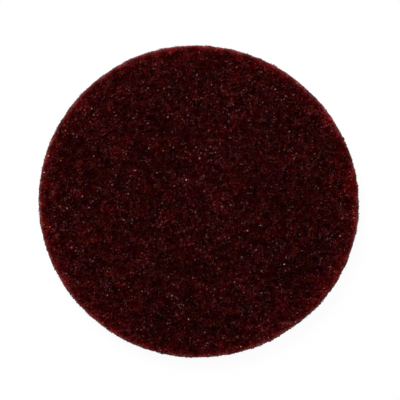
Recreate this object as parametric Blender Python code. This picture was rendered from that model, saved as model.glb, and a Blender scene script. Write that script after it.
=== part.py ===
"""A surface conditioning disc: one round pad, die-cut from a lofty web of matted abrasive fibre.

It lies on its back, which is pressed flat to hold on a hook-faced pad, with its working face up.
The origin is the middle of the back, +Z points out of the working face, and lengths are in metres.
The web is needled and bonded into one piece, so the disc is one closed solid: its section is swept
round in rings of points, and each point is then sunk by the hollows between the matted fibres.
"""

import math
import random

import bmesh
import bpy
from mathutils import Vector, noise

# Size of the disc
DISC_DIAMETER = 0.115
WEB_THICKNESS = 0.006
SHOULDER_RADIUS = 0.0016
WALL_LEAN = 0.0004

# The soft web relaxes once it is cut, which leaves the outline a little out of round
OVAL_STANDS_OUT = 0.00079
OVAL_DIRECTION = math.radians(-11.0)
THREE_LOBES_STAND_OUT = 0.00021
THREE_LOBES_DIRECTION = math.radians(-9.0)
FOUR_LOBES_STAND_OUT = 0.00008
FOUR_LOBES_DIRECTION = math.radians(-7.0)

# Matted fibre: how deep the hollows between its lumps are, and how wide a lump is. Finer pits lie
# between the knots that single fibres make. Most are shallow, and the shoulder has no deep ones
FACE_HOLLOW_DEPTH = 0.0007
FACE_LUMP_WIDTH = 0.0042
FACE_PIT_DEPTH = 0.0007
SHOULDER_PIT_DEPTH = 0.0002
PIT_POWER = 1.3
RIM_HOLLOW_DEPTH = 0.0004
RIM_TUFT_WIDTH = 0.0034
LUMP_OCTAVES = 2
LUMP_SWING = 0.75

# Spacing of the points that carry the form
FACE_PITCH = 0.00175
WALL_PITCH = 0.0015
SHOULDER_STEPS = 3
CORNERS_OF_FIRST_RING = 6
RIM_POINTS_PER_FACE_POINT = 2
SCATTER = 0.2
SCATTER_SEED = 7

# Look of the fibre
FIBRE_COLOUR = (0.045, 0.005, 0.006, 1.0)
FIBRE_ROUGHNESS = 0.62
SHARP_EDGE_ANGLE = math.radians(75.0)


def outline_radius(angle):
    """Distance from the middle to the cut outline in this direction, at the back."""
    oval = OVAL_STANDS_OUT * math.cos(2 * (angle - OVAL_DIRECTION))
    three = THREE_LOBES_STAND_OUT * math.cos(3 * (angle - THREE_LOBES_DIRECTION))
    four = FOUR_LOBES_STAND_OUT * math.cos(4 * (angle - FOUR_LOBES_DIRECTION))
    return DISC_DIAMETER / 2 + oval + three + four


def hollow(point, lump_width):
    """How far this point is sunk between the lumps, from 0 on their tops to 1 at the deepest."""
    swell = noise.fractal(point / lump_width, 1.0, 2.0, LUMP_OCTAVES)
    return min(max(0.5 - LUMP_SWING * swell, 0.0), 1.0)


def matted(point, outward, up, pit):
    """The point sunk into the matted web, against a surface direction of (outward, up)."""
    radial = Vector((point.x, point.y, 0.0)).normalized()
    sunk_face = FACE_HOLLOW_DEPTH * hollow(point, FACE_LUMP_WIDTH) + pit
    sunk_rim = RIM_HOLLOW_DEPTH * outward * outward * hollow(point, RIM_TUFT_WIDTH)
    return point - radial * (outward * sunk_rim) - Vector((0.0, 0.0, up * sunk_face))


def face_rows(rings):
    """Rows of the section across the working face, as (share of radius, inset, height, tilt)."""
    inset = WALL_LEAN + SHOULDER_RADIUS
    return [(k / rings, inset, WEB_THICKNESS, math.pi / 2) for k in range(1, rings + 1)]


def shoulder_rows():
    """Rows round the shoulder, from the step past the face's edge to the top of the wall."""
    rows = []
    for step in range(1, SHOULDER_STEPS + 1):
        tilt = math.pi / 2 * (1 - step / SHOULDER_STEPS)
        inset = WALL_LEAN + SHOULDER_RADIUS * (1 - math.cos(tilt))
        height = WEB_THICKNESS - SHOULDER_RADIUS * (1 - math.sin(tilt))
        rows.append((1.0, inset, height, tilt))
    return rows


def wall_rows():
    """Rows down the cut wall, which leans out to the full outline at the back's edge."""
    top = WEB_THICKNESS - SHOULDER_RADIUS
    steps = max(1, round(top / WALL_PITCH))
    rows = []
    for step in range(1, steps + 1):
        share = step / steps
        rows.append((1.0, WALL_LEAN * (1 - share), top * (1 - share), 0.0))
    return rows


def ring_points(row, count, scatter, pit_depth, chance):
    """One row of the section swept round the disc, its points scattered a little along the web."""
    share, inset, height, tilt = row
    outward, up = math.cos(tilt), math.sin(tilt)
    points = []
    for k in range(count):
        angle = 2 * math.pi * k / count
        radius = share * (outline_radius(angle) - inset)
        place = Vector((radius * math.cos(angle), radius * math.sin(angle), height))
        place.x += scatter * chance.uniform(-1.0, 1.0)
        place.y += scatter * chance.uniform(-1.0, 1.0)
        pit = pit_depth * chance.random() ** PIT_POWER
        points.append(matted(place, outward, up, pit))
    return points


def add_ring(mesh, points):
    return [mesh.verts.new(point) for point in points]


def zip_rings(mesh, inner, outer):
    """Joins two rings that may differ in number of points, stepping on whichever lags behind."""
    i = j = 0
    while i < len(inner) or j < len(outer):
        here, there = inner[i % len(inner)], outer[j % len(outer)]
        if (j + 1) / len(outer) <= (i + 1) / len(inner):
            mesh.faces.new((here, there, outer[(j + 1) % len(outer)]))
            j += 1
        else:
            mesh.faces.new((here, there, inner[(i + 1) % len(inner)]))
            i += 1


def centred(mesh):
    """Moves the disc so that its box is centred on the axis, which is where the die's middle was."""
    for axis in range(2):
        places = [vert.co[axis] for vert in mesh.verts]
        middle = (min(places) + max(places)) / 2
        for vert in mesh.verts:
            vert.co[axis] -= middle


def disc_mesh():
    """The whole disc: face, shoulder and wall ring by ring, then the flat back as one face."""
    chance = random.Random(SCATTER_SEED)
    flat_radius = DISC_DIAMETER / 2 - WALL_LEAN - SHOULDER_RADIUS
    rings = max(2, round(flat_radius / FACE_PITCH))
    scatter = SCATTER * flat_radius / rings
    mesh = bmesh.new()
    before = None
    for k, row in enumerate(face_rows(rings), start=1):
        loose, pit_depth = (scatter, FACE_PIT_DEPTH) if k < rings else (0.0, SHOULDER_PIT_DEPTH)
        ring = add_ring(mesh, ring_points(row, CORNERS_OF_FIRST_RING * k, loose, pit_depth, chance))
        if before is None:
            mesh.faces.new(ring)
        else:
            zip_rings(mesh, before, ring)
        before = ring
    rim_count = RIM_POINTS_PER_FACE_POINT * len(before)
    for row in shoulder_rows() + wall_rows():
        ring = add_ring(mesh, ring_points(row, rim_count, 0.0, SHOULDER_PIT_DEPTH, chance))
        zip_rings(mesh, before, ring)
        before = ring
    mesh.faces.new(list(reversed(before)))
    centred(mesh)
    return mesh


def fibre_material():
    material = bpy.data.materials.new("abrasive_fibre")
    material.use_nodes = True
    shader = material.node_tree.nodes["Principled BSDF"]
    shader.inputs["Base Color"].default_value = FIBRE_COLOUR
    shader.inputs["Roughness"].default_value = FIBRE_ROUGHNESS
    shader.inputs["Metallic"].default_value = 0.0
    return material


def add_disc():
    mesh = disc_mesh()
    data = bpy.data.meshes.new("conditioning_disc")
    mesh.to_mesh(data)
    mesh.free()
    data.shade_smooth()
    data.set_sharp_from_angle(angle=SHARP_EDGE_ANGLE)
    data.materials.append(fibre_material())
    disc = bpy.data.objects.new("conditioning_disc", data)
    bpy.context.scene.collection.objects.link(disc)


def main():
    for old in list(bpy.data.objects):
        bpy.data.objects.remove(old)
    add_disc()


main()
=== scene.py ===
"""Looks of a surface conditioning disc: a thick round web of matted fibre, resin and abrasive grain.

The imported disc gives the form. A finely broken felt takes its place, and separate crimped fibres,
cut ends and grains lie on it. Lengths are in metres, and +Z is out of the face.

Places on the disc are written on the unrolled disc: a flat map that starts at the middle of the
face (or of the back), and whose outermost stretch runs over the shoulder and down the cut wall.
"""

import math

import bpy
import numpy as np
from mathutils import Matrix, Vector, noise
from mathutils.bvhtree import BVHTree


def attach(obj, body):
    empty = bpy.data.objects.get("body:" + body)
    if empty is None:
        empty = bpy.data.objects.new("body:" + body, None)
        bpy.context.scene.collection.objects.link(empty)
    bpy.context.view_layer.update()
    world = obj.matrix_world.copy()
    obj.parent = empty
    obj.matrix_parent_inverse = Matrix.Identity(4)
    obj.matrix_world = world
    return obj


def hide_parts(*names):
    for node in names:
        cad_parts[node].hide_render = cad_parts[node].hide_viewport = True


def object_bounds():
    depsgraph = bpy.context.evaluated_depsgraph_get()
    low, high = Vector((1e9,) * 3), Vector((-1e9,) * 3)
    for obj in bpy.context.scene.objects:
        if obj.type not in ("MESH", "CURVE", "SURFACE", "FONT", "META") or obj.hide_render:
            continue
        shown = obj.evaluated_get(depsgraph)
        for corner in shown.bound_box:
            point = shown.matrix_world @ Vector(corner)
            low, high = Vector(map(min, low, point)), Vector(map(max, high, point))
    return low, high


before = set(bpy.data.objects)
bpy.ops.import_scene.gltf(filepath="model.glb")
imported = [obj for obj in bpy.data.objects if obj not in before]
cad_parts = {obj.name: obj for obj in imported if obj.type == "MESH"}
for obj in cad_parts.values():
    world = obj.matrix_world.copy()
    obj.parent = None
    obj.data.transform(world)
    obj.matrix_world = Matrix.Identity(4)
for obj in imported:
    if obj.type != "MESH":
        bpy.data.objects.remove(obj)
CAD_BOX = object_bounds()
CAD_NODE = "conditioning_disc"
BODY = "root"

# The photograph's frame, in its own pixels, counted from the frame's top left corner
FRAME_PX = 400
DISC_CENTRE_PX = (198.8, 201.55)
DISC_RADIUS_PX = 155.7
LENS_MM = 85.0
SENSOR_MM = 36.0

# Inside the disc lies a smaller core, this far in at its corners. A ray towards it finds each place
# on the skin: straight on to the faces, fanned out round the core's corners, level on to the wall
FACE, BACK = 1, -1
CORNER = {FACE: 0.0020, BACK: 0.0010}
FAR_OUTSIDE = 0.010
OUTLINE_ANGLES = 720
OUTLINE_HARMONICS = 6

# Chance: one seeded source, and the even scatter of places over a ring
SEED = 11
GOLDEN_ANGLE = math.pi * (3 - math.sqrt(5))
SCATTER = 0.6

# Felt: rows of points over the skin, sunk a little on the back and broken into by pits. It is sunk
# where the direction out of the skin rises by more than this share
CORNERS_OF_FIRST_RING = 6
FELT_RINGS = {FACE: 112, BACK: 84}
FELT_CORNER_ROWS = {FACE: 6, BACK: 4}
FELT_WALL_ROWS = 6
FELT_JITTER = 0.25
FELT_SUNK = {FACE: 0.0, BACK: 0.00018}
FELT_SUNK_ABOVE_RISE = 0.5
PIT_DEPTH = {FACE: 0.00045, BACK: 0.00027}
PIT_WIDTH = 0.0013
PIT_MEAN, PIT_SWING = 0.45, 0.75
FINE_PIT_SHARE, FINE_PIT_SCALE = 0.5, 2.3

# Fibres: how many, the points along each and the step between them, thickness, crimp and curl. The
# crimp swings by so many radians, and the curl is in radians a metre
FIBRE_SIDES = 3
FACE_FIBRES = 9600
FACE_FIBRE_PIECES = 3
RIM_FIBRES = 2600
BACK_FIBRES = 2400
FIBRE_POINTS, FIBRE_STEP = 7, 0.0006
RIM_FIBRE_POINTS, RIM_FIBRE_STEP = 6, 0.0005
FIBRE_RADIUS = (0.00006, 0.00011)
FIBRE_UNEVEN = (0.75, 1.3)
TIP_RADII = 1.5
CRIMP_LENGTH = (0.0016, 0.0034)
CRIMP_SWING = (0.3, 1.1)
FIBRE_CURL = 250.0

# How high fibres weave over the skin, turning so many radians a point, how far their loose ends
# rise, and the room kept below them
FACE_LIFT = (-0.00028, 0.00010)
RIM_LIFT = (-0.0002, 0.00008)
BACK_LIFT = (-0.00032, -0.00008)
WEAVE_TURN = (0.6, 1.6)
WEAVE_HEIGHT = 0.0001
END_RISE, END_RISE_LIMIT = 0.00022, 0.0006
RISE_FROM = -0.3
CLEARANCE_RADII = 1.6
REST_GAP = 0.00001

# Where fibres and grains start, as shares of the disc's radius on the unrolled disc. The rim's
# fibres run along it, give or take a turn in radians
FACE_FIBRE_REACH = 1.005
RIM_FIBRE_FROM = 0.99
RIM_FIBRE_TURN = 0.55
GRAIN_REACH = {FACE: 1.03, BACK: 0.97}

# Fibre ends left by the die, on a band from just inside the outline down to just above the back
CUT_ENDS = 3600
CUT_END_POINTS = 4
CUT_END_INWARD, CUT_END_ABOVE_BACK = 0.001, 0.0005
CUT_END_LENGTH = (0.0003, 0.0008)
CUT_END_SPAN = (-0.5, 0.6)
CUT_END_DRIFT = 0.6
CUT_END_BEND = 0.35
CUT_END_TAPER = 0.7

# Nodules of resin and mineral grain on the fibres, in radii where the name says so. A share of the
# places tried is kept, loosely in clumps
FACE_GRAINS = 15000
BACK_GRAINS = 2500
GRAIN_RADIUS = 0.00027
GRAIN_SPREAD = 0.3
GRAIN_LIMITS = (0.00012, 0.00045)
GRAIN_STRETCH = (0.6, 1.25)
GRAIN_LIFT = 0.00012
BACK_GRAIN_SUNK_RADII = 1.3
KEPT_SHARE = 0.65
CLUMP_LOOSENESS = 0.26

# Colours: the coat's deep red, and the ashy share that bare mineral adds to it, which also carries
# painted glints and sheen
DEEP_RED = np.array([0.040, 0.0005, 0.0006])
ASH_AND_GLINT = np.array([1.55, 0.985, 0.985])
WARM_TO_COOL = np.array([0, -0.0026, 0.0026])
LIGHTEST_GRAIN = 0.6

# Patches, as (how strong, how wide): of the whole shade, of the red alone, and of warm and cool.
# They are read from smooth noise, at a shift that is counted in widths of the patch. The grains
# gather in the narrow ones, and the ashy share with its painted glints grows faster than the shade
# does, by this power
PATCHES = ((0.27, 0.021), (0.26, 0.0040), (0.4, 0.0024), (0.58, 0.0016))
CLUMP_PATCHES = PATCHES[2:]
RED_PATCHES = ((-0.03, 0.021), (0.05, 0.016), (0.26, 0.0056), (0.48, 0.0034))
HUE_PATCHES = ((0.06, 0.018), (0.1, 0.0042), (0.28, 0.0023), (0.34, 0.0013))
PATCH_SHIFT = np.array([-28.8, -35.3, 8.9])
ASH_AND_GLINT_POWER = 1.35

# Painted shade: how light the web is painted on top, and how much darker it is painted at this
# depth, as shade down in the hollows. Only the face itself is painted darker there, where the
# direction out of the skin rises by more than this share
TOP_SHADE, HOLLOW_SHADE = 1.24, 0.55
HOLLOW_DEPTH = 0.0014
FACES_UP = 0.9

# The die-cut rim: redder and lighter, partly the cut fibres' own red and partly painted light that
# the edge catches, and with a painted pale sheen, both fading inward and down the wall
RIM_RED_AND_LIGHT = 2.8
RIM_RED_AND_LIGHT_INWARD, RIM_RED_AND_LIGHT_DOWNWARD = 0.0022, 0.0015
RIM_SHEEN = 0.040
RIM_SHEEN_INWARD, RIM_SHEEN_DOWNWARD = 0.00026, 0.0006

# How strong the red and the ashy share with its painted glints are on each kind of piece, and how
# much they vary from one fibre, end or grain to the next, and unevenly along a fibre. Where a fibre
# dips into the web it keeps only a share of each, as painted shade
# The felt is painted darker than the fibres, as shade in the gaps between them, and darker still in its
# pits
FELT_SHADED_RED, FELT_ASH_AND_GLINT, FELT_SHEEN = 0.35, 0.0002, 0.5
FELT_TOP_SHADE, FELT_PIT_SHADE = 1.1, 0.8
FIBRE_RED, FIBRE_ASH_AND_GLINT = 0.66, 0.0025
FIBRE_SHADE_SPREAD, FIBRE_ASH_AND_GLINT_SPREAD = 0.12, 0.6
FIBRE_RED_UNEVEN, FIBRE_ASH_AND_GLINT_UNEVEN = 0.05, 0.6
DIPPED_RED_IN_SHADE, DIPPED_ASH_AND_GLINT_IN_SHADE = 0.65, 0.05
MOST_LIT = 1.3
CUT_END_SHADE, CUT_END_ASH_AND_GLINT = 1.1, 0.008
CUT_END_RED_SPREAD, CUT_END_ASH_AND_GLINT_SPREAD = 0.2, 0.6
GRAIN_RED, GRAIN_ASH_AND_GLINT = 0.8, 0.0038
GRAIN_RED_SPREAD, GRAIN_ASH_AND_GLINT_SPREAD = 0.05, 1.18

# UV map: the felt's margin, and the margins of a fibre's and of a grain triangle's small square
FELT_UV_ROOM = 1.02
CELL_MARGIN = 0.08
SLOT_MARGIN = 0.1
SLOTS_ACROSS = 3

# Fine mottling of every material, by noise of this scale
MOTTLE_SCALE = 1900.0
MOTTLE_DETAIL = 2.0
MOTTLE_RANGE = (0.3, 0.7)
BUMP_STRENGTH = 0.8

# Studio: lamps as (name, place, size, watts), the light from all round, and the white floor
LAMPS = (("key", (-0.22, 0.36, 0.40), 0.30, 4.7), ("fill", (0.42, 0.28, 0.45), 0.50, 1.6))
WHITE = (1, 1, 1, 1)
BACKGROUND_STRENGTH = 1.0
WORLD_LIGHT = 0.31
FLOOR_REACH = 1.5
FLOOR_COLOUR = (0.8, 0.8, 0.8, 1)
FLOOR_WHITE_SHARE = 0.95

TINY = 1e-12

chance = np.random.default_rng(SEED)


def cad_skin():
    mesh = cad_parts[CAD_NODE].data
    corners = [vertex.co for vertex in mesh.vertices]
    return BVHTree.FromPolygons(corners, [list(face.vertices) for face in mesh.polygons])


SKIN = cad_skin()
BASE_Z, TOP_Z = CAD_BOX[0].z, CAD_BOX[1].z
CORE_Z = {FACE: TOP_Z - CORNER[FACE], BACK: BASE_Z + CORNER[BACK]}
WALL_RUN = CORE_Z[FACE] - CORE_Z[BACK]
CORNER_RUN = {side: reach * math.pi / 2 for side, reach in CORNER.items()}


def measured_outline():
    """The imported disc's radius at even steps round it, without its tufts."""
    height = (BASE_Z + TOP_Z) / 2
    far = max(CAD_BOX[1].x, CAD_BOX[1].y) + FAR_OUTSIDE
    radii = []
    for k in range(OUTLINE_ANGLES):
        angle = 2 * math.pi * k / OUTLINE_ANGLES
        away = Vector((math.cos(angle), math.sin(angle), 0))
        hit = SKIN.ray_cast(away * far + Vector((0, 0, height)), -away)[0]
        radii.append(math.hypot(hit.x, hit.y))
    waves = np.fft.rfft(radii)
    waves[OUTLINE_HARMONICS:] = 0
    return np.fft.irfft(waves, OUTLINE_ANGLES)


OUTLINE = measured_outline()


def outline(angle):
    steps = np.arange(OUTLINE_ANGLES) * 2 * math.pi / OUTLINE_ANGLES
    return np.interp(angle, steps, OUTLINE, period=2 * math.pi)


def on_map(run, angle):
    """Places on the unrolled disc from how far out they lie and in which direction."""
    return np.stack([run * np.cos(angle), run * np.sin(angle)], -1)


def rays(flat, side):
    """The core points and outward directions for places on the unrolled disc."""
    run = np.hypot(flat[..., 0], flat[..., 1])
    angle = np.arctan2(flat[..., 1], flat[..., 0])
    core = outline(angle) - CORNER[FACE]
    arc = CORNER_RUN[side]
    over = run - core
    tilt = math.pi / 2 * (1 - np.clip(over / arc, 0, 1))
    height = CORE_Z[side] - side * np.clip(over - arc, 0, WALL_RUN)
    radius = np.minimum(run, core)
    points = np.stack([radius * np.cos(angle), radius * np.sin(angle), height], -1)
    level = np.cos(tilt)
    away = np.stack([np.cos(angle) * level, np.sin(angle) * level, side * np.sin(tilt)], -1)
    return points, away


def skin_points(flat, side):
    """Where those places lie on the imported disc's skin, and the directions out of it."""
    core, away = rays(flat, side)
    start = (core + away * FAR_OUTSIDE).reshape(-1, 3)
    back = -away.reshape(-1, 3)
    hits = np.empty_like(start)
    for k in range(len(start)):
        hit = SKIN.ray_cast(Vector(start[k]), Vector(back[k]))[0]
        hits[k] = core.reshape(-1, 3)[k] if hit is None else hit
    return hits.reshape(flat.shape[:-1] + (3,)), away


def noise_at(points, width):
    """Smooth noise, about -1 to 1, with lumps of this width."""
    places = points.reshape(-1, 3) / width
    values = np.array([noise.noise(Vector(place)) for place in places])
    return values.reshape(points.shape[:-1])


def patchy(places, patches):
    """The sum of some patches at these places, about 0."""
    return sum(swing * noise_at(places + PATCH_SHIFT * width, width) for swing, width in patches)


def web_shade(places, away):
    """How light the web is here, about 1: patchy all over, with shade painted darker down in the hollows.
    """
    sunk = np.clip((TOP_Z - places[..., 2]) / HOLLOW_DEPTH, 0, 1) * (away[..., 2] > FACES_UP)
    return np.exp(patchy(places, PATCHES)) * (TOP_SHADE - HOLLOW_SHADE * sunk)


def inward(flat):
    """How far in from the outline these places lie; less than nothing down the wall."""
    return outline(np.arctan2(flat[..., 1], flat[..., 0])) - np.hypot(flat[..., 0], flat[..., 1])


def rim_fade(flat, reach_inward, reach_downward):
    """1 at the outline, fading to 0 both in from it and down the wall."""
    reach = np.where(inward(flat) > 0, reach_inward, reach_downward)
    return np.exp(-np.abs(inward(flat)) / reach)


def rim_red_and_light(flat):
    """How much redder and lighter the web is here than mid-face, partly the cut fibres' own red and
    partly painted light: most at the die-cut rim, and less down the wall.
    """
    return 1 + RIM_RED_AND_LIGHT * rim_fade(flat, RIM_RED_AND_LIGHT_INWARD, RIM_RED_AND_LIGHT_DOWNWARD)


def rim_sheen(flat):
    """A painted pale sheen, even along the die-cut edge, where its frayed ends catch the light."""
    return RIM_SHEEN * rim_fade(flat, RIM_SHEEN_INWARD, RIM_SHEEN_DOWNWARD)


def tints(places, red_level, ash_and_glint_level, sheen, red_spread=0.0, ash_and_glint_spread=0.0):
    """Colours: deep red, pale mineral with painted glints, mostly faint but now and then bright, and the
    rim's painted sheen.
    """
    red = red_level * np.exp(patchy(places, RED_PATCHES) + chance.normal(0, red_spread, red_level.shape))
    ash_and_glint = ash_and_glint_level * np.exp(chance.normal(0, ash_and_glint_spread, ash_and_glint_level.shape))
    hue = WARM_TO_COOL * patchy(places, HUE_PATCHES)[..., None]
    colour = DEEP_RED * red[..., None] + ASH_AND_GLINT * (ash_and_glint + sheen)[..., None] + hue
    return np.maximum(colour, 0)


def build_mesh(name, points, triangles, uv, tint):
    """A mesh from arrays: points, triangles, a UV for each triangle corner, a tint for each point."""
    mesh = bpy.data.meshes.new(name)
    mesh.vertices.add(len(points))
    mesh.vertices.foreach_set("co", points.astype(np.float32).ravel())
    mesh.loops.add(triangles.size)
    mesh.loops.foreach_set("vertex_index", triangles.astype(np.int32).ravel())
    mesh.polygons.add(len(triangles))
    mesh.polygons.foreach_set("loop_start", np.arange(0, triangles.size, 3, dtype=np.int32))
    mesh.update(calc_edges=True)
    mesh.shade_smooth()
    layer = mesh.uv_layers.new(name="OFBake")
    layer.data.foreach_set("uv", uv.astype(np.float32).ravel())
    colours = mesh.color_attributes.new("tint", "FLOAT_COLOR", "POINT")
    rgba = np.concatenate([tint, np.ones((len(points), 1))], 1)
    colours.data.foreach_set("color", rgba.astype(np.float32).ravel())
    piece = bpy.data.objects.new(name, mesh)
    bpy.context.scene.collection.objects.link(piece)
    return piece


def dress(piece, material):
    piece.data.materials.append(material)
    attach(piece, BODY)


# Felt under the fibres

def felt_rows():
    """(side, places on the unrolled disc) of each row, from the face's middle to the back's."""
    rows = []
    for side in (FACE, BACK):
        rings = FELT_RINGS[side]
        full = CORNERS_OF_FIRST_RING * rings
        marks = [(CORNERS_OF_FIRST_RING * k, k / rings, 0.0) for k in range(1, rings + 1)]
        for k in range(1, FELT_CORNER_ROWS[side] + 1):
            marks.append((full, 1.0, CORNER_RUN[side] * k / FELT_CORNER_ROWS[side]))
        if side == FACE:
            for k in range(1, FELT_WALL_ROWS + 1):
                marks.append((full, 1.0, CORNER_RUN[side] + WALL_RUN * k / FELT_WALL_ROWS))
        made = []
        for count, share, over in marks:
            angle = 2 * math.pi * np.arange(count) / count
            flat = on_map(share * (outline(angle) - CORNER[FACE]) + over, angle)
            if over == 0.0:
                pitch = outline(0.0) / rings
                flat += chance.uniform(-FELT_JITTER, FELT_JITTER, flat.shape) * pitch
            made.append((side, flat))
        rows += made if side == FACE else made[-2::-1]
    return rows


def pit(points):
    """How deep the felt is broken into at these points, from 0 to 1."""
    depth = np.empty(len(points))
    for k, point in enumerate(points):
        place = Vector(point) / PIT_WIDTH
        depth[k] = noise.noise(place) + FINE_PIT_SHARE * noise.noise(place * FINE_PIT_SCALE)
    return np.clip(PIT_MEAN + PIT_SWING * depth, 0, 1)


def felt_row(side, flat):
    """The points of one row of the felt, sunk into the skin, and their colours, with shade painted darker
    in the pits.
    """
    places, away = skin_points(flat, side)
    depth = pit(places)
    sunk = FELT_SUNK[side] * (side * away[:, 2] > FELT_SUNK_ABOVE_RISE) + PIT_DEPTH[side] * depth
    # Painted shade: the felt is darker than the fibres above it, and darker again down in its pits
    level = web_shade(places, away) * rim_red_and_light(flat) * (FELT_TOP_SHADE - FELT_PIT_SHADE * depth)
    tint = tints(places, FELT_SHADED_RED * level, FELT_ASH_AND_GLINT * level, FELT_SHEEN * level * rim_sheen(flat))
    return places - away * sunk[:, None], tint


def ring_triangles(inner, outer, inner_at, outer_at):
    """Triangles between two rings of points, whose counts may differ."""
    made = []
    i = j = 0
    while i < inner or j < outer:
        here, there = inner_at + i % inner, outer_at + j % outer
        if (j + 1) * inner <= (i + 1) * outer:
            made.append((here, there, outer_at + (j + 1) % outer))
            j += 1
        else:
            made.append((here, there, inner_at + (i + 1) % inner))
            i += 1
    return made


def felt_triangles(counts):
    """Triangles over rows of so many points, with a fan to a last point at the middle of each side."""
    starts = [sum(counts[:row]) for row in range(len(counts))]
    face_middle, back_middle = sum(counts), sum(counts) + 1
    first, last = starts[0], starts[-1]
    steps = [(k, (k + 1) % CORNERS_OF_FIRST_RING) for k in range(CORNERS_OF_FIRST_RING)]
    triangles = [(first + here, first + there, face_middle) for here, there in steps]
    for row in range(len(counts) - 1):
        triangles += ring_triangles(counts[row], counts[row + 1], starts[row], starts[row + 1])
    triangles += [(last + there, last + here, back_middle) for here, there in steps]
    return np.array(triangles)


def felt_uv(flat, side, triangles):
    """The unrolled disc as a UV map: the face's side in the left half, the back's in the right."""
    reach = np.abs(flat).max() * FELT_UV_ROOM
    uv = flat[triangles] / (4 * reach) + 0.25
    uv[..., 1] += 0.25
    uv[side[triangles].min(1) == BACK, :, 0] += 0.5
    return uv


def add_felt(material):
    rows = felt_rows()
    made = [felt_row(side, flat) for side, flat in rows]
    points = [row_points for row_points, tint in made]
    triangles = felt_triangles([len(row_points) for row_points in points])
    middles = [points[0].mean(0)[None], points[-1].mean(0)[None]]
    flat = np.concatenate([flat for side, flat in rows] + [np.zeros((2, 2))])
    side = np.concatenate([np.full(len(flat), side) for side, flat in rows] + [np.array([FACE, BACK])])
    tint = np.concatenate([tint for row_points, tint in made] + [DEEP_RED[None] * FELT_SHADED_RED] * 2)
    uv = felt_uv(flat, side, triangles)
    felt = build_mesh("felt", np.concatenate(points + middles), triangles, uv, tint)
    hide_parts(CAD_NODE)
    dress(felt, material)


# Fibres

def crimped(starts, heading, count, step):
    """Paths of crimped fibre on the unrolled disc: (fibres, points, 2)."""
    each = (len(starts), 1)
    along = np.arange(count) * step
    wave = 2 * math.pi / chance.uniform(*CRIMP_LENGTH, each)
    swing = chance.uniform(*CRIMP_SWING, each)
    phase = chance.uniform(0, 2 * math.pi, each)
    curl = chance.normal(0, FIBRE_CURL, each)
    turn = heading[:, None] + swing * np.sin(wave * along + phase) + curl * along
    path = np.cumsum(on_map(step, turn), axis=1)
    return starts[:, None] + path - path[:, count // 2:count // 2 + 1]


def unit(vectors):
    return vectors / (np.linalg.norm(vectors, axis=-1, keepdims=True) + TINY)


def tube_points(paths, outward, radius):
    """Rings of points round paths (fibres, points, 3), and then a tip at each end of every path."""
    along = unit(np.gradient(paths, axis=1))
    across = unit(np.cross(along, outward))
    up = np.cross(across, along)
    turn = np.arange(FIBRE_SIDES) * 2 * math.pi / FIBRE_SIDES
    ring = np.cos(turn)[:, None] * across[:, :, None] + np.sin(turn)[:, None] * up[:, :, None]
    rings = paths[:, :, None] + ring * radius[:, :, None, None]
    tips = np.stack([paths[:, 0] - along[:, 0] * radius[:, 0, None] * TIP_RADII,
                     paths[:, -1] + along[:, -1] * radius[:, -1, None] * TIP_RADII], 1)
    return np.concatenate([rings.reshape(len(paths), -1, 3), tips], 1)


def tube_faces(count):
    """Triangles of one closed tube of so many rings, and the UV of each of their corners."""
    first, last = count * FIBRE_SIDES, count * FIBRE_SIDES + 1
    faces, uv = [], []
    for side in range(FIBRE_SIDES):
        after = (side + 1) % FIBRE_SIDES
        low, high = side / FIBRE_SIDES, (side + 1) / FIBRE_SIDES
        middle = (low + high) / 2
        for k in range(count - 1):
            a, b = k * FIBRE_SIDES + side, k * FIBRE_SIDES + after
            c, d = a + FIBRE_SIDES, b + FIBRE_SIDES
            u, v = (k + 1) / (count + 1), (k + 2) / (count + 1)
            faces += [(a, b, d), (a, d, c)]
            uv += [((u, low), (u, high), (v, high)), ((u, low), (v, high), (v, low))]
        start, end = 1 / (count + 1), count / (count + 1)
        last_ring = (count - 1) * FIBRE_SIDES
        faces += [(side, first, after), (last_ring + side, last_ring + after, last)]
        uv += [((start, low), (0, middle), (start, high)), ((end, low), (end, high), (1, middle))]
    return np.array(faces), np.array(uv)


def cell_grid(count, uv):
    """One small square of the UV map for each fibre or grain, with a margin round it."""
    across = math.ceil(math.sqrt(count))
    cell = np.stack([np.arange(count) % across, np.arange(count) // across], -1)
    inside = CELL_MARGIN + uv * (1 - 2 * CELL_MARGIN)
    return (cell[:, None, None] + inside[None]) / across


def off_the_floor(paths, radius):
    """The paths, lifted where the fibre would come through the plane that the disc lies on."""
    lifted = paths.copy()
    lifted[..., 2] = np.maximum(paths[..., 2], BASE_Z + CLEARANCE_RADII * radius + REST_GAP)
    return lifted


def add_tubes(name, paths, outward, radius, tint, material):
    """Closed tubes along paths, tapering to a tip at both ends."""
    points = tube_points(paths, outward, radius)
    faces, uv = tube_faces(paths.shape[1])
    rings = np.repeat(tint, FIBRE_SIDES, axis=1)
    tint = np.concatenate([rings, tint[:, :1], tint[:, -1:]], 1)
    triangles = faces[None] + (np.arange(len(paths)) * points.shape[1])[:, None, None]
    piece = build_mesh(name, points.reshape(-1, 3), triangles.reshape(-1, 3),
                       cell_grid(len(paths), uv).reshape(-1, 2), tint.reshape(-1, 3))
    dress(piece, material)


def fibre_heights(fibres, points, lift):
    """How high fibres run above the skin: weaving in and out of it, and some with a loose end."""
    phase = chance.uniform(0, 2 * math.pi, (fibres, 1))
    wave = chance.uniform(*WEAVE_TURN, (fibres, 1)) * np.arange(points)[None]
    height = chance.uniform(*lift, (fibres, 1)) + WEAVE_HEIGHT * np.sin(wave + phase)
    rise = np.clip(chance.normal(0, END_RISE, (fibres, 1)), 0, END_RISE_LIMIT)
    return height + rise * np.linspace(RISE_FROM, 1, points)[None] ** 2


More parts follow.
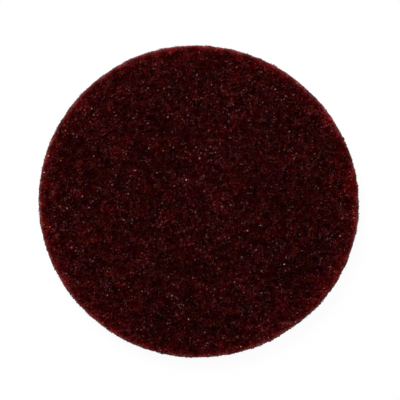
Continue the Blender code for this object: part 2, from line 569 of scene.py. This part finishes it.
def fibre_tint(flat, places, away, lit_share):
    """Colours along fibres, with shade painted in where they dip into the web: darker red and fewer
    painted glints.
    """
    each = (len(flat), 1)
    shade = web_shade(places, away) * np.exp(chance.normal(0, FIBRE_SHADE_SPREAD, each))
    ash_and_glint = FIBRE_ASH_AND_GLINT * shade ** ASH_AND_GLINT_POWER * np.exp(chance.normal(0, FIBRE_ASH_AND_GLINT_SPREAD, each))
    # Painted shade: lower in the weave a fibre's red is darker and its pale glints fade
    red = FIBRE_RED * shade * (DIPPED_RED_IN_SHADE + (1 - DIPPED_RED_IN_SHADE) * lit_share) * rim_red_and_light(flat)
    lit_ash_and_glint = ash_and_glint * (DIPPED_ASH_AND_GLINT_IN_SHADE + (1 - DIPPED_ASH_AND_GLINT_IN_SHADE) * lit_share)
    return tints(places, red, lit_ash_and_glint, shade * rim_sheen(flat), FIBRE_RED_UNEVEN, FIBRE_ASH_AND_GLINT_UNEVEN)


def add_fibres(name, starts, heading, side, lift, material, points=FIBRE_POINTS, step=FIBRE_STEP):
    """Crimped fibres lying on the skin, weaving between lift[0] and lift[1] above it."""
    fibres = len(starts)
    flat = crimped(starts, heading, points, step)
    places, away = skin_points(flat, side)
    height = fibre_heights(fibres, points, lift)
    radius = chance.uniform(*FIBRE_RADIUS, (fibres, 1)) * chance.uniform(*FIBRE_UNEVEN, (fibres, points))
    # How high each point lies in its fibre's weave, which sets how much shade is painted on it
    lit_share = np.clip((height - lift[0]) / (lift[1] - lift[0]), 0, MOST_LIT)
    tint = fibre_tint(flat, places, away, lit_share)
    paths = off_the_floor(places + away * height[..., None], radius)
    add_tubes(name, paths, away, radius, tint, material)


def scattered(count, low, high):
    """Places spread evenly over a ring of the unrolled disc, between two shares of its radius."""
    turn = np.arange(count) * GOLDEN_ANGLE + chance.uniform(0, 2 * math.pi)
    share = np.sqrt(np.linspace(low ** 2, high ** 2, count))
    pitch = math.sqrt(math.pi * (high ** 2 - low ** 2) / count) * OUTLINE.mean()
    flat = on_map(share * outline(turn), turn)
    return flat + chance.uniform(-SCATTER, SCATTER, flat.shape) * pitch


def add_face_fibres(material):
    for k in range(FACE_FIBRE_PIECES):
        starts = scattered(FACE_FIBRES // FACE_FIBRE_PIECES, 0.0, FACE_FIBRE_REACH)
        heading = chance.uniform(0, 2 * math.pi, len(starts))
        add_fibres(f"face_fibres_{k + 1}", starts, heading, FACE, FACE_LIFT, material)


def add_rim_fibres(material):
    """Fibres on the shoulder and the wall, where the web's layers show as bands along the rim."""
    wall = (OUTLINE.mean() + CORNER[FACE] * (math.pi / 2 - 1) + WALL_RUN) / OUTLINE.mean()
    starts = scattered(RIM_FIBRES, RIM_FIBRE_FROM, wall)
    along = np.arctan2(starts[:, 1], starts[:, 0]) + math.pi / 2
    heading = along + chance.normal(0, RIM_FIBRE_TURN, RIM_FIBRES)
    add_fibres("rim_fibres", starts, heading, FACE, RIM_LIFT, material, RIM_FIBRE_POINTS, RIM_FIBRE_STEP)


def add_back_fibres(material):
    starts = scattered(BACK_FIBRES, 0.0, 1.0)
    heading = chance.uniform(0, 2 * math.pi, BACK_FIBRES)
    add_fibres("back_fibres", starts, heading, BACK, BACK_LIFT, material)


def add_cut_ends(material):
    """Fibre ends left by the die, standing out of the wall and the shoulder."""
    angle = chance.uniform(0, 2 * math.pi, CUT_ENDS)
    band = CORNER_RUN[FACE] + WALL_RUN - CUT_END_ABOVE_BACK
    flat = on_map(outline(angle) - CUT_END_INWARD + chance.uniform(0, band, CUT_ENDS), angle)
    places, away = skin_points(flat, FACE)
    out = unit(away + chance.normal(0, CUT_END_DRIFT, (CUT_ENDS, 3)))
    length = chance.uniform(*CUT_END_LENGTH, (CUT_ENDS, 1))
    bend = unit(np.cross(out, chance.normal(0, 1, (CUT_ENDS, 3))))
    along = np.linspace(*CUT_END_SPAN, CUT_END_POINTS)[None]
    paths = (places[:, None] + out[:, None] * (length * along)[..., None]
             + bend[:, None] * (length * CUT_END_BEND * along ** 2)[..., None])
    taper = np.linspace(1.0, CUT_END_TAPER, CUT_END_POINTS)[None]
    radius = chance.uniform(*FIBRE_RADIUS, (CUT_ENDS, 1)) * taper
    paths = off_the_floor(paths, radius)
    shade = np.repeat((web_shade(places, away) * CUT_END_SHADE)[:, None], CUT_END_POINTS, 1)
    tint = tints(paths, shade * rim_red_and_light(flat)[:, None], CUT_END_ASH_AND_GLINT * shade, np.zeros_like(shade),
                 CUT_END_RED_SPREAD, CUT_END_ASH_AND_GLINT_SPREAD)
    add_tubes("cut_ends", paths, np.repeat(bend[:, None], CUT_END_POINTS, 1), radius, tint, material)


# Grain

OCTAHEDRON = np.array([(1, 0, 0), (-1, 0, 0), (0, 1, 0), (0, -1, 0), (0, 0, 1), (0, 0, -1)], float)
OCTAHEDRON_FACES = np.array([(0, 2, 4), (2, 1, 4), (1, 3, 4), (3, 0, 4),
                             (2, 0, 5), (1, 2, 5), (3, 1, 5), (0, 3, 5)])


def clumped(starts, side, count):
    """As many of these places as are wanted, most of them in the clumps where the web is lighter."""
    places = skin_points(starts, side)[0]
    rank = patchy(places, CLUMP_PATCHES) + chance.normal(0, CLUMP_LOOSENESS, len(starts))
    return starts[np.sort(np.argsort(rank)[-count:])]


def nodule_shapes(count):
    """Uneven octahedra turned every way: their points about the middle, and their triangles."""
    axes = np.linalg.qr(chance.normal(0, 1, (count, 3, 3)))[0]
    corners = len(OCTAHEDRON)
    shapes = (OCTAHEDRON[None] * chance.uniform(*GRAIN_STRETCH, (count, corners, 1))) @ axes
    triangles = OCTAHEDRON_FACES[None] + (np.arange(count) * corners)[:, None, None]
    mirrored = np.linalg.det(axes) < 0
    triangles[mirrored] = triangles[mirrored][..., ::-1]
    return shapes, triangles


def nodule_uv():
    """A small triangle of the map for each of a nodule's faces."""
    corner = np.array([(0.0, 0.0), (1.0, 0.0), (0.5, 1.0)])
    faces = range(len(OCTAHEDRON_FACES))
    slots = np.array([(k % SLOTS_ACROSS, k // SLOTS_ACROSS) for k in faces], float)
    return (slots[:, None] + SLOT_MARGIN + (1 - 2 * SLOT_MARGIN) * corner[None]) / SLOTS_ACROSS


def add_grains(name, count, side, material):
    """Angular nodules half sunk among the fibres, or pressed level with them on the back."""
    places_to_try = round(count / KEPT_SHARE)
    starts = clumped(scattered(places_to_try, 0.0, GRAIN_REACH[side]), side, count)
    places, away = skin_points(starts, side)
    size = np.clip(GRAIN_RADIUS * np.exp(chance.normal(0, GRAIN_SPREAD, (count, 1))), *GRAIN_LIMITS)
    lift = chance.uniform(-GRAIN_LIFT, GRAIN_LIFT, (count, 1))
    if side == BACK:
        lift = -BACK_GRAIN_SUNK_RADII * size - REST_GAP
    shapes, triangles = nodule_shapes(count)
    points = (places + away * lift)[:, None] + shapes * size[..., None]
    shade = web_shade(places, away)
    # The grains' rare bright specks are painted glints on top of the pale mineral
    tint = tints(places, GRAIN_RED * shade * rim_red_and_light(starts), GRAIN_ASH_AND_GLINT * shade ** ASH_AND_GLINT_POWER,
                 shade * rim_sheen(starts), GRAIN_RED_SPREAD, GRAIN_ASH_AND_GLINT_SPREAD)
    tint = np.repeat(np.clip(tint, 0, LIGHTEST_GRAIN), len(OCTAHEDRON), axis=0)
    piece = build_mesh(name, points.reshape(-1, 3), triangles.reshape(-1, 3),
                       cell_grid(count, nodule_uv()).reshape(-1, 2), tint)
    piece.data.shade_flat()
    dress(piece, material)


# Materials

def new_material(name):
    material = bpy.data.materials.new(name)
    material.use_nodes = True
    return material, material.node_tree.nodes, material.node_tree.links


def mottle_noise(nodes, links):
    place = nodes.new("ShaderNodeTexCoord")
    grain = nodes.new("ShaderNodeTexNoise")
    grain.inputs["Scale"].default_value = MOTTLE_SCALE
    grain.inputs["Detail"].default_value = MOTTLE_DETAIL
    links.new(place.outputs["Object"], grain.inputs["Vector"])
    return grain


def tinted_material(name, roughness, specular, mottle, bump=0.0):
    """The painted tint, mottled by fine noise."""
    material, nodes, links = new_material(name)
    shader = nodes["Principled BSDF"]
    tint = nodes.new("ShaderNodeAttribute")
    tint.attribute_name = "tint"
    speck = mottle_noise(nodes, links)
    shade = nodes.new("ShaderNodeMapRange")
    shade.inputs["From Min"].default_value = MOTTLE_RANGE[0]
    shade.inputs["From Max"].default_value = MOTTLE_RANGE[1]
    shade.inputs["To Min"].default_value = 1 - mottle
    shade.inputs["To Max"].default_value = 1 + mottle
    links.new(speck.outputs["Fac"], shade.inputs["Value"])
    mix = nodes.new("ShaderNodeVectorMath")
    mix.operation = "SCALE"
    links.new(tint.outputs["Color"], mix.inputs[0])
    links.new(shade.outputs["Result"], mix.inputs["Scale"])
    links.new(mix.outputs["Vector"], shader.inputs["Base Color"])
    if bump:
        dents = nodes.new("ShaderNodeBump")
        dents.inputs["Distance"].default_value = bump
        dents.inputs["Strength"].default_value = BUMP_STRENGTH
        links.new(speck.outputs["Fac"], dents.inputs["Height"])
        links.new(dents.outputs["Normal"], shader.inputs["Normal"])
    shader.inputs["Roughness"].default_value = roughness
    shader.inputs["Specular IOR Level"].default_value = specular
    return material


# Studio

def seen_as_background(nodes, links):
    """1 for rays that show the background: straight from the camera, or by way of gloss or glass."""
    path = nodes.new("ShaderNodeLightPath")
    seen = path.outputs["Is Camera Ray"]
    for kind in ("Is Glossy Ray", "Is Transmission Ray"):
        either = nodes.new("ShaderNodeMath")
        either.operation = "MAXIMUM"
        links.new(seen, either.inputs[0])
        links.new(path.outputs[kind], either.inputs[1])
        seen = either.outputs["Value"]
    return seen


def floor_material():
    """Matt and pale for the light on the disc, but nearly white to look at, with the disc's shadow."""
    material, nodes, links = new_material("floor_white")
    nodes.remove(nodes["Principled BSDF"])
    matt = nodes.new("ShaderNodeBsdfDiffuse")
    matt.inputs["Color"].default_value = FLOOR_COLOUR
    glow = nodes.new("ShaderNodeEmission")
    glow.inputs["Color"].default_value = WHITE
    glow.inputs["Strength"].default_value = BACKGROUND_STRENGTH
    share = nodes.new("ShaderNodeMath")
    share.operation = "MULTIPLY"
    share.inputs[1].default_value = FLOOR_WHITE_SHARE
    links.new(seen_as_background(nodes, links), share.inputs[0])
    mix = nodes.new("ShaderNodeMixShader")
    links.new(share.outputs["Value"], mix.inputs["Fac"])
    links.new(matt.outputs["BSDF"], mix.inputs[1])
    links.new(glow.outputs["Emission"], mix.inputs[2])
    links.new(mix.outputs["Shader"], nodes["Material Output"].inputs["Surface"])
    return material


def add_floor():
    mesh = bpy.data.meshes.new("floor")
    corners = [(-1, -1), (1, -1), (1, 1), (-1, 1)]
    mesh.from_pydata([(x * FLOOR_REACH, y * FLOOR_REACH, BASE_Z) for x, y in corners], [], [(0, 1, 2, 3)])
    mesh.materials.append(floor_material())
    floor = bpy.data.objects.new("floor", mesh)
    bpy.context.scene.collection.objects.link(floor)


def add_world():
    world = bpy.data.worlds.new("studio")
    bpy.context.scene.world = world
    world.use_nodes = True
    nodes, links = world.node_tree.nodes, world.node_tree.links
    background = nodes["Background"]
    background.inputs["Color"].default_value = WHITE
    strength = nodes.new("ShaderNodeMapRange")
    strength.inputs["To Min"].default_value = WORLD_LIGHT
    strength.inputs["To Max"].default_value = BACKGROUND_STRENGTH
    links.new(seen_as_background(nodes, links), strength.inputs["Value"])
    links.new(strength.outputs["Result"], background.inputs["Strength"])


def add_lamp(name, place, size, watts):
    """A round lamp that shines on the middle of the disc."""
    light = bpy.data.lights.new(name, "AREA")
    light.shape = "DISK"
    light.size = size
    light.energy = watts
    lamp = bpy.data.objects.new(name, light)
    lamp.location = place
    lamp.rotation_euler = (-Vector(place)).to_track_quat("-Z", "Y").to_euler()
    bpy.context.scene.collection.objects.link(lamp)


def add_camera():
    """Looks straight down, with the disc as large and as far off centre as in the photograph."""
    data = bpy.data.cameras.new("camera")
    data.lens = LENS_MM
    data.sensor_width = SENSOR_MM
    camera = bpy.data.objects.new("camera", data)
    per_px = OUTLINE.mean() / DISC_RADIUS_PX
    distance = FRAME_PX * per_px * LENS_MM / SENSOR_MM
    aside = (FRAME_PX / 2 - DISC_CENTRE_PX[0]) * per_px
    ahead = (DISC_CENTRE_PX[1] - FRAME_PX / 2) * per_px
    camera.location = (aside, ahead, BASE_Z + distance)
    bpy.context.scene.collection.objects.link(camera)
    bpy.context.scene.camera = camera


def main():
    add_felt(tinted_material("felt_under", roughness=0.8, specular=0.0, mottle=0.4, bump=0.0002))
    fibre = tinted_material("coated_fibre", roughness=0.5, specular=0.004, mottle=0.2)
    add_face_fibres(fibre)
    add_rim_fibres(fibre)
    add_back_fibres(fibre)
    add_cut_ends(fibre)
    grain = tinted_material("abrasive_grain", roughness=0.25, specular=0.045, mottle=0.15)
    add_grains("face_grains", FACE_GRAINS, FACE, grain)
    add_grains("back_grains", BACK_GRAINS, BACK, grain)
    add_floor()
    add_world()
    for lamp in LAMPS:
        add_lamp(*lamp)
    add_camera()
    bpy.context.scene.view_settings.view_transform = "Standard"


main()
